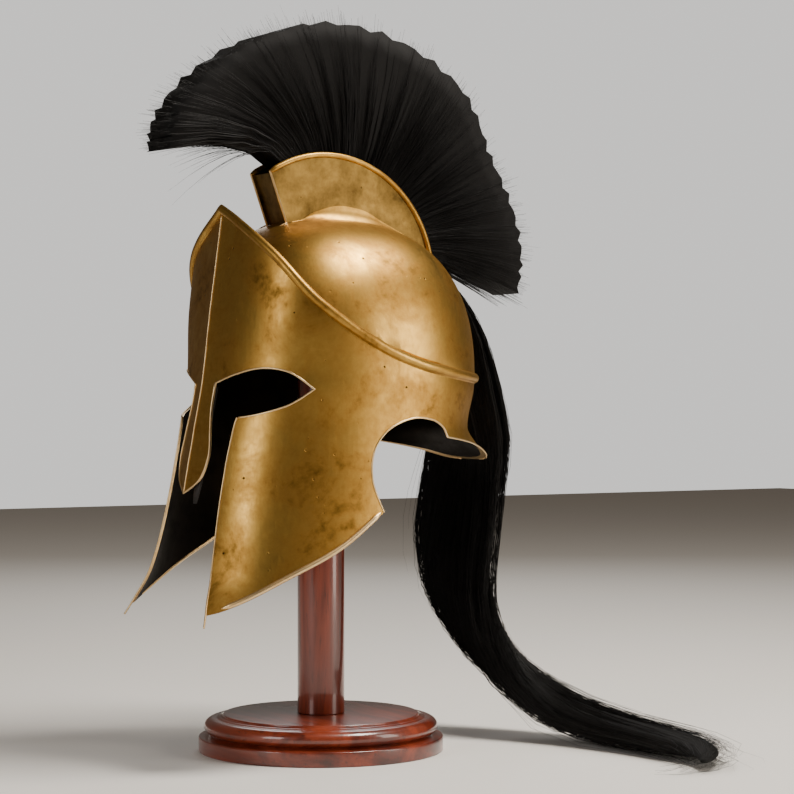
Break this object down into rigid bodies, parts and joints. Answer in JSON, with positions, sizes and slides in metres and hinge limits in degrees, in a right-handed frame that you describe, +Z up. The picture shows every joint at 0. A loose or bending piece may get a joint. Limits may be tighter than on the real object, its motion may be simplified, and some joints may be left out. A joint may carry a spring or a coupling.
{
  "type": "crested greek helmet on wooden display stand",
  "caption": "Face-covering metal helmet with a gabled brow rib, fan-shaped hair crest and long hair tail, carried on a turned wooden post and round base.",
  "frame": {"origin": "on the table, in the middle of the underside of the stand's base", "axes": "+Z up, the helmet faces -Y, its wearer's left is +X"},
  "size_m": [0.3831, 0.4095, 0.6062],
  "materials": {
    "aged_brass": "satin, darkened in the hollows, with a dark inside",
    "black_hair": "stiff and soft horsehair",
    "black_leather": "matt",
    "varnished_wood": "glossy varnish"
  },
  "bodies": {
    "root": {"helmet_shell": "aged_brass", "crest_box": "aged_brass", "crest_hair": "black_hair", "tail_hair": "black_hair", "liner_strap": "black_leather", "stand_base": "varnished_wood", "stand_post": "varnished_wood", "stand_head": "varnished_wood"}
  },
  "joints": []
}
